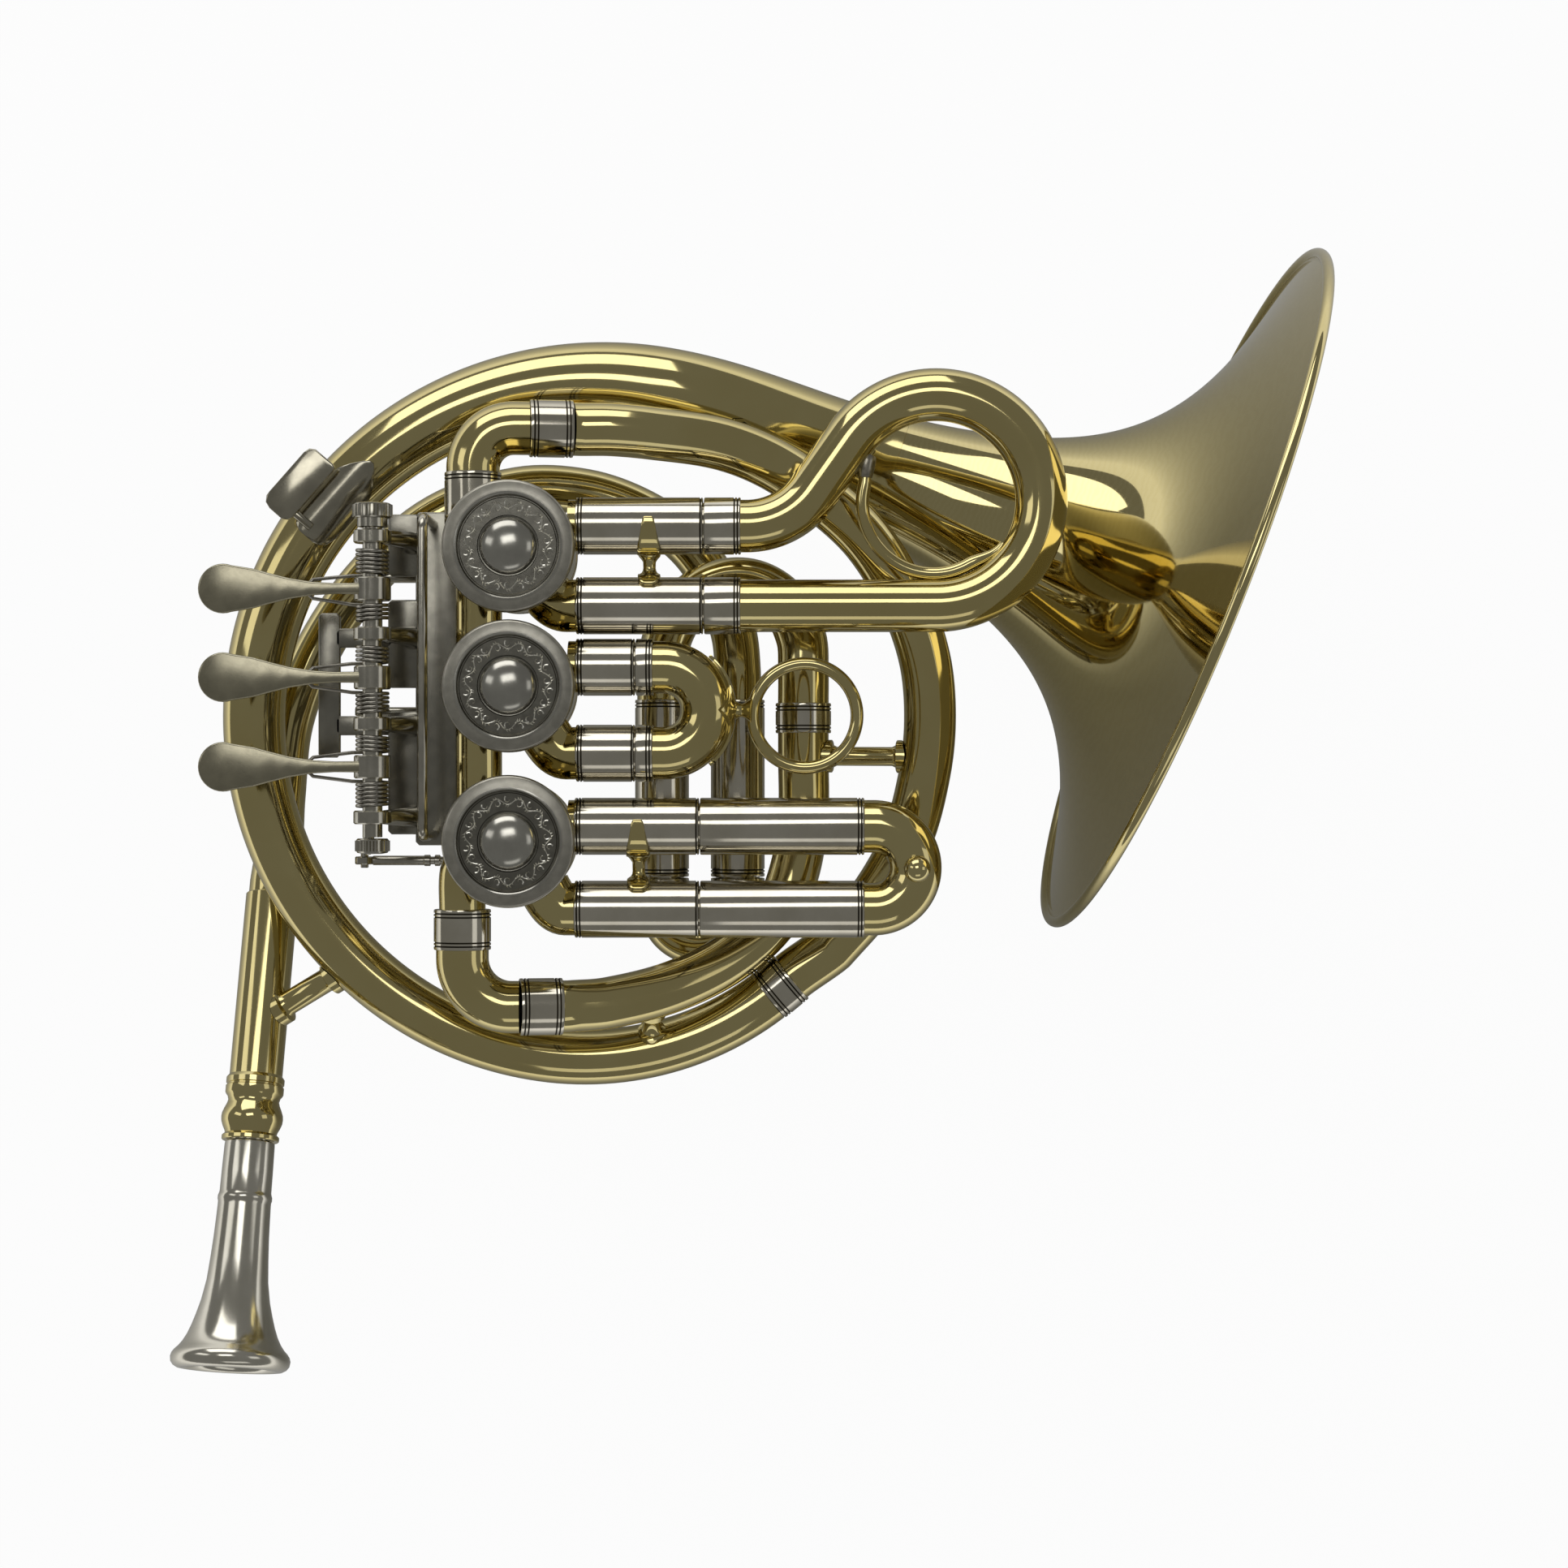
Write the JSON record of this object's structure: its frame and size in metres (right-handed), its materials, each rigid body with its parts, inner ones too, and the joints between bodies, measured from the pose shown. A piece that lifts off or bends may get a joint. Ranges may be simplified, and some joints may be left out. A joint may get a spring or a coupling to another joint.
{
  "type": "pocket horn",
  "caption": "Compact horn wound in one loop, with rotary valves worked by hinged keys and rods, pull-out valve slides, a tuning slide, a flared bell and a separate mouthpiece.",
  "frame": {"origin": "middle of the part's bounding box in X and Y, at its lowest point in Z (the bell rim's lowest point)", "axes": "+X toward the bell, +Y from the mouthpiece up past the key end of the loop, +Z from the tuning slide toward the valve caps"},
  "size_m": [0.2658, 0.2626, 0.1718],
  "materials": {
    "lacquered_brass": "polished, clear lacquer",
    "polished_nickel": "polished nickel silver",
    "satin_nickel": "satin nickel plate",
    "spring_steel": "bright drawn wire"
  },
  "bodies": {
    "horn": {"bell": "lacquered_brass", "bell_branch": "lacquered_brass", "inner_branch": "lacquered_brass", "top_elbow": "lacquered_brass", "bottom_elbow": "lacquered_brass", "lower_branch": "lacquered_brass", "upper_bow": "lacquered_brass", "lead_pipe": "lacquered_brass", "receiver": "lacquered_brass", "valve_casing_1": "lacquered_brass", "valve_casing_2": "lacquered_brass", "valve_casing_3": "lacquered_brass", "brace_slide_1": "lacquered_brass", "brace_slide_3": "lacquered_brass", "lead_pipe_brace": "lacquered_brass", "bottom_brace": "lacquered_brass", "side_brace": "lacquered_brass", "bell_brace": "lacquered_brass", "bottom_cap_1": "lacquered_brass", "bottom_cap_2": "lacquered_brass", "bottom_cap_3": "lacquered_brass", "branch_ferrule": "polished_nickel", "top_ferrule": "polished_nickel", "top_collar": "polished_nickel", "bottom_collar": "polished_nickel", "bottom_ferrule": "polished_nickel", "side_ferrule": "polished_nickel", "tuning_sleeve_left": "polished_nickel", "tuning_sleeve_right": "polished_nickel", "key_plate": "polished_nickel", "hinge_screw": "polished_nickel", "hinge_nut": "polished_nickel", "finger_hook": "polished_nickel", "stop_rail": "polished_nickel", "slide_sleeve_1_upper": "polished_nickel", "slide_sleeve_1_lower": "polished_nickel", "slide_sleeve_2_upper": "polished_nickel", "slide_sleeve_2_lower": "polished_nickel", "slide_sleeve_3_upper": "polished_nickel", "slide_sleeve_3_lower": "polished_nickel", "valve_cap_1": "satin_nickel", "valve_cap_2": "satin_nickel", "valve_cap_3": "satin_nickel"},
    "tuning": {"tuning_slide": "lacquered_brass"},
    "mouthpiece": {"mouthpiece": "polished_nickel"},
    "key_1": {"key_1": "satin_nickel", "key_spring_1": "spring_steel"},
    "link_1": {"key_link_1": "polished_nickel"},
    "rotor_1": {"rotor_1": "lacquered_brass"},
    "slide_1": {"valve_slide_1": "lacquered_brass"},
    "key_2": {"key_2": "satin_nickel", "key_spring_2": "spring_steel"},
    "link_2": {"key_link_2": "polished_nickel"},
    "rotor_2": {"rotor_2": "lacquered_brass"},
    "slide_2": {"valve_slide_2": "lacquered_brass"},
    "key_3": {"key_3": "satin_nickel", "key_spring_3": "spring_steel"},
    "link_3": {"key_link_3": "polished_nickel"},
    "rotor_3": {"rotor_3": "lacquered_brass"},
    "slide_3": {"valve_slide_3": "lacquered_brass"}
  },
  "joints": [
    {"name": "key_1_hinge", "type": "hinge", "parent": "horn", "child": "key_1", "pos_m": [-0.08477, 0.04797, 0.13542], "axis": [0, -1, 0], "range_deg": [0, 23.8], "stiffness_Nm_per_rad": 0.04, "springref_deg": -28.65},
    {"name": "link_1_hinge", "type": "hinge", "parent": "key_1", "child": "link_1", "pos_m": [-0.08977, 0.05202, 0.11194], "axis": [0, -1, 0], "range_deg": [-24, 0.5]},
    {"name": "rotor_1_turn", "type": "hinge", "parent": "horn", "child": "rotor_1", "pos_m": [-0.05397, 0.05697, 0.12742], "axis": [0, 0, 1], "range_deg": [-0.5, 90.5]},
    {"name": "key_2_hinge", "type": "hinge", "parent": "horn", "child": "key_2", "pos_m": [-0.08477, 0.02837, 0.13542], "axis": [0, -1, 0], "range_deg": [0, 23.8], "stiffness_Nm_per_rad": 0.04, "springref_deg": -28.65},
    {"name": "link_2_hinge", "type": "hinge", "parent": "key_2", "child": "link_2", "pos_m": [-0.08977, 0.02132, 0.11194], "axis": [0, -1, 0], "range_deg": [-24, 0.5]},
    {"name": "rotor_2_turn", "type": "hinge", "parent": "horn", "child": "rotor_2", "pos_m": [-0.05397, 0.02627, 0.12742], "axis": [0, 0, 1], "range_deg": [-0.5, 90.5]},
    {"name": "key_3_hinge", "type": "hinge", "parent": "horn", "child": "key_3", "pos_m": [-0.08477, 0.00857, 0.13542], "axis": [0, -1, 0], "range_deg": [0, 23.8], "stiffness_Nm_per_rad": 0.04, "springref_deg": -28.65},
    {"name": "link_3_hinge", "type": "hinge", "parent": "key_3", "child": "link_3", "pos_m": [-0.08977, -0.01278, 0.11194], "axis": [0, -1, 0], "range_deg": [-24, 0.5]},
    {"name": "rotor_3_turn", "type": "hinge", "parent": "horn", "child": "rotor_3", "pos_m": [-0.05397, -0.00783, 0.12742], "axis": [0, 0, 1], "range_deg": [-0.5, 90.5]},
    {"name": "slide_1_pull", "type": "slide", "parent": "horn", "child": "slide_1", "axis": [1, 0, 0], "range_m": [0, 0.015]},
    {"name": "slide_2_pull", "type": "slide", "parent": "horn", "child": "slide_2", "axis": [1, 0, 0], "range_m": [0, 0.009]},
    {"name": "slide_3_pull", "type": "slide", "parent": "horn", "child": "slide_3", "axis": [1, 0, 0], "range_m": [0, 0.02]},
    {"name": "tuning_pull", "type": "slide", "parent": "horn", "child": "tuning", "axis": [0, -1, 0], "range_m": [0, 0.018]},
    {"name": "mouthpiece_pull", "type": "slide", "parent": "horn", "child": "mouthpiece", "axis": [-0.0441, -0.9647, 0.2595], "range_m": [0, 0.02]}
  ],
  "couplings": [
    {"joint": "link_1_hinge", "follows": "key_1_hinge", "ratio": -1},
    {"joint": "rotor_1_turn", "follows": "key_1_hinge", "ratio": 3.7815},
    {"joint": "link_2_hinge", "follows": "key_2_hinge", "ratio": -1},
    {"joint": "rotor_2_turn", "follows": "key_2_hinge", "ratio": 3.7815},
    {"joint": "link_3_hinge", "follows": "key_3_hinge", "ratio": -1},
    {"joint": "rotor_3_turn", "follows": "key_3_hinge", "ratio": 3.7815}
  ]
}
